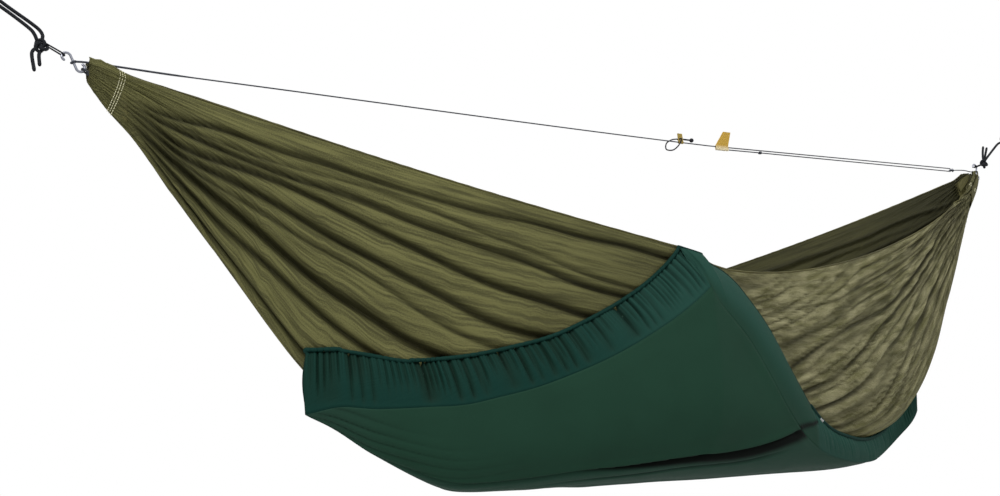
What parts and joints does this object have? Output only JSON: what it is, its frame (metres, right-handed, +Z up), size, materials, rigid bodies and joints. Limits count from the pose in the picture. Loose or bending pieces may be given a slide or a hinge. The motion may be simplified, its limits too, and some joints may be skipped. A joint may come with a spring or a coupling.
{
  "type": "camping hammock",
  "caption": "Gathered-end camping hammock with a diagonal insulated under-cover, rope suspension on S-hooks, and an adjustable ridge cord with a pull tab and gear loop.",
  "frame": {"origin": "centre of the anchor ring at the head end", "axes": "+X level from the head ring to the foot ring, +Y level across the hammock to its far rim, +Z up"},
  "size_m": [3.2382, 0.5072, 1.052],
  "materials": {
    "hammock_cloth": "thin olive ripstop-like nylon, slightly sheer",
    "end_channel": "olive cloth, gathered and sewn",
    "rim_hem": "rolled and sewn olive hem",
    "cover_face": "smooth dark green shell cloth",
    "cover_band": "dark teal draw hem cloth",
    "cover_lining": "dark green lining cloth",
    "cover_filling": "pale synthetic wadding",
    "elastic": "black woven elastic cord",
    "bead": "light grey moulded bead",
    "ring_steel": "plain round steel bar",
    "hook_steel": "polished round steel bar",
    "rope": "black braided rope",
    "cord": "dark grey-blue braided cord",
    "tab_yellow": "yellow webbing tab",
    "webbing": "yellow-brown webbing",
    "gear_cord": "black cord"
  },
  "bodies": {
    "anchors": {"head_anchor_ring": "ring_steel", "foot_anchor_ring": "ring_steel"},
    "hammock": {"hammock_cloth": "hammock_cloth", "head_end_channel": "end_channel", "foot_end_channel": "end_channel", "near_rim_hem": "rim_hem", "far_rim_hem": "rim_hem", "cover_shell": "cover_face", "cover_lining": "cover_lining", "cover_filling": "cover_filling", "cover_head_draw_tube": "cover_band", "cover_foot_draw_tube": "cover_band", "cover_head_elastic": "elastic", "cover_foot_elastic": "elastic", "cover_head_bead": "bead", "cover_foot_bead": "bead", "cover_near_binding": "cover_band", "cover_far_binding": "cover_band", "head_rope": "rope", "foot_rope": "rope", "head_hook": "hook_steel", "foot_hook": "hook_steel", "head_gather_cord": "cord", "foot_gather_cord": "cord", "ridge_cord": "cord", "ridge_link": "hook_steel", "ridge_foot_leader": "cord", "ridge_stop_knot": "cord"},
    "pull_tab": {"pull_tab": "tab_yellow"},
    "gear_tab": {"gear_tab": "webbing", "gear_toggle": "gear_cord"},
    "gear_loop": {"gear_loop": "gear_cord"}
  },
  "joints": [
    {"name": "swing", "type": "hinge", "parent": "anchors", "child": "hammock", "pos_m": [0.01824, 0, -0.0123], "axis": [1, 0, 0], "range_deg": [-20, 20]},
    {"name": "tab_slide", "type": "slide", "parent": "hammock", "child": "pull_tab", "axis": [0.9998, 0, 0.021], "range_m": [0, 0.11]},
    {"name": "gear_slide", "type": "slide", "parent": "hammock", "child": "gear_tab", "axis": [1, 0, -0.0013], "range_m": [-0.03, 0.03]},
    {"name": "loop_hinge", "type": "hinge", "parent": "gear_tab", "child": "gear_loop", "pos_m": [1.74522, 0, -0.16911], "axis": [0, 1, 0], "range_deg": [-100, 0]}
  ]
}
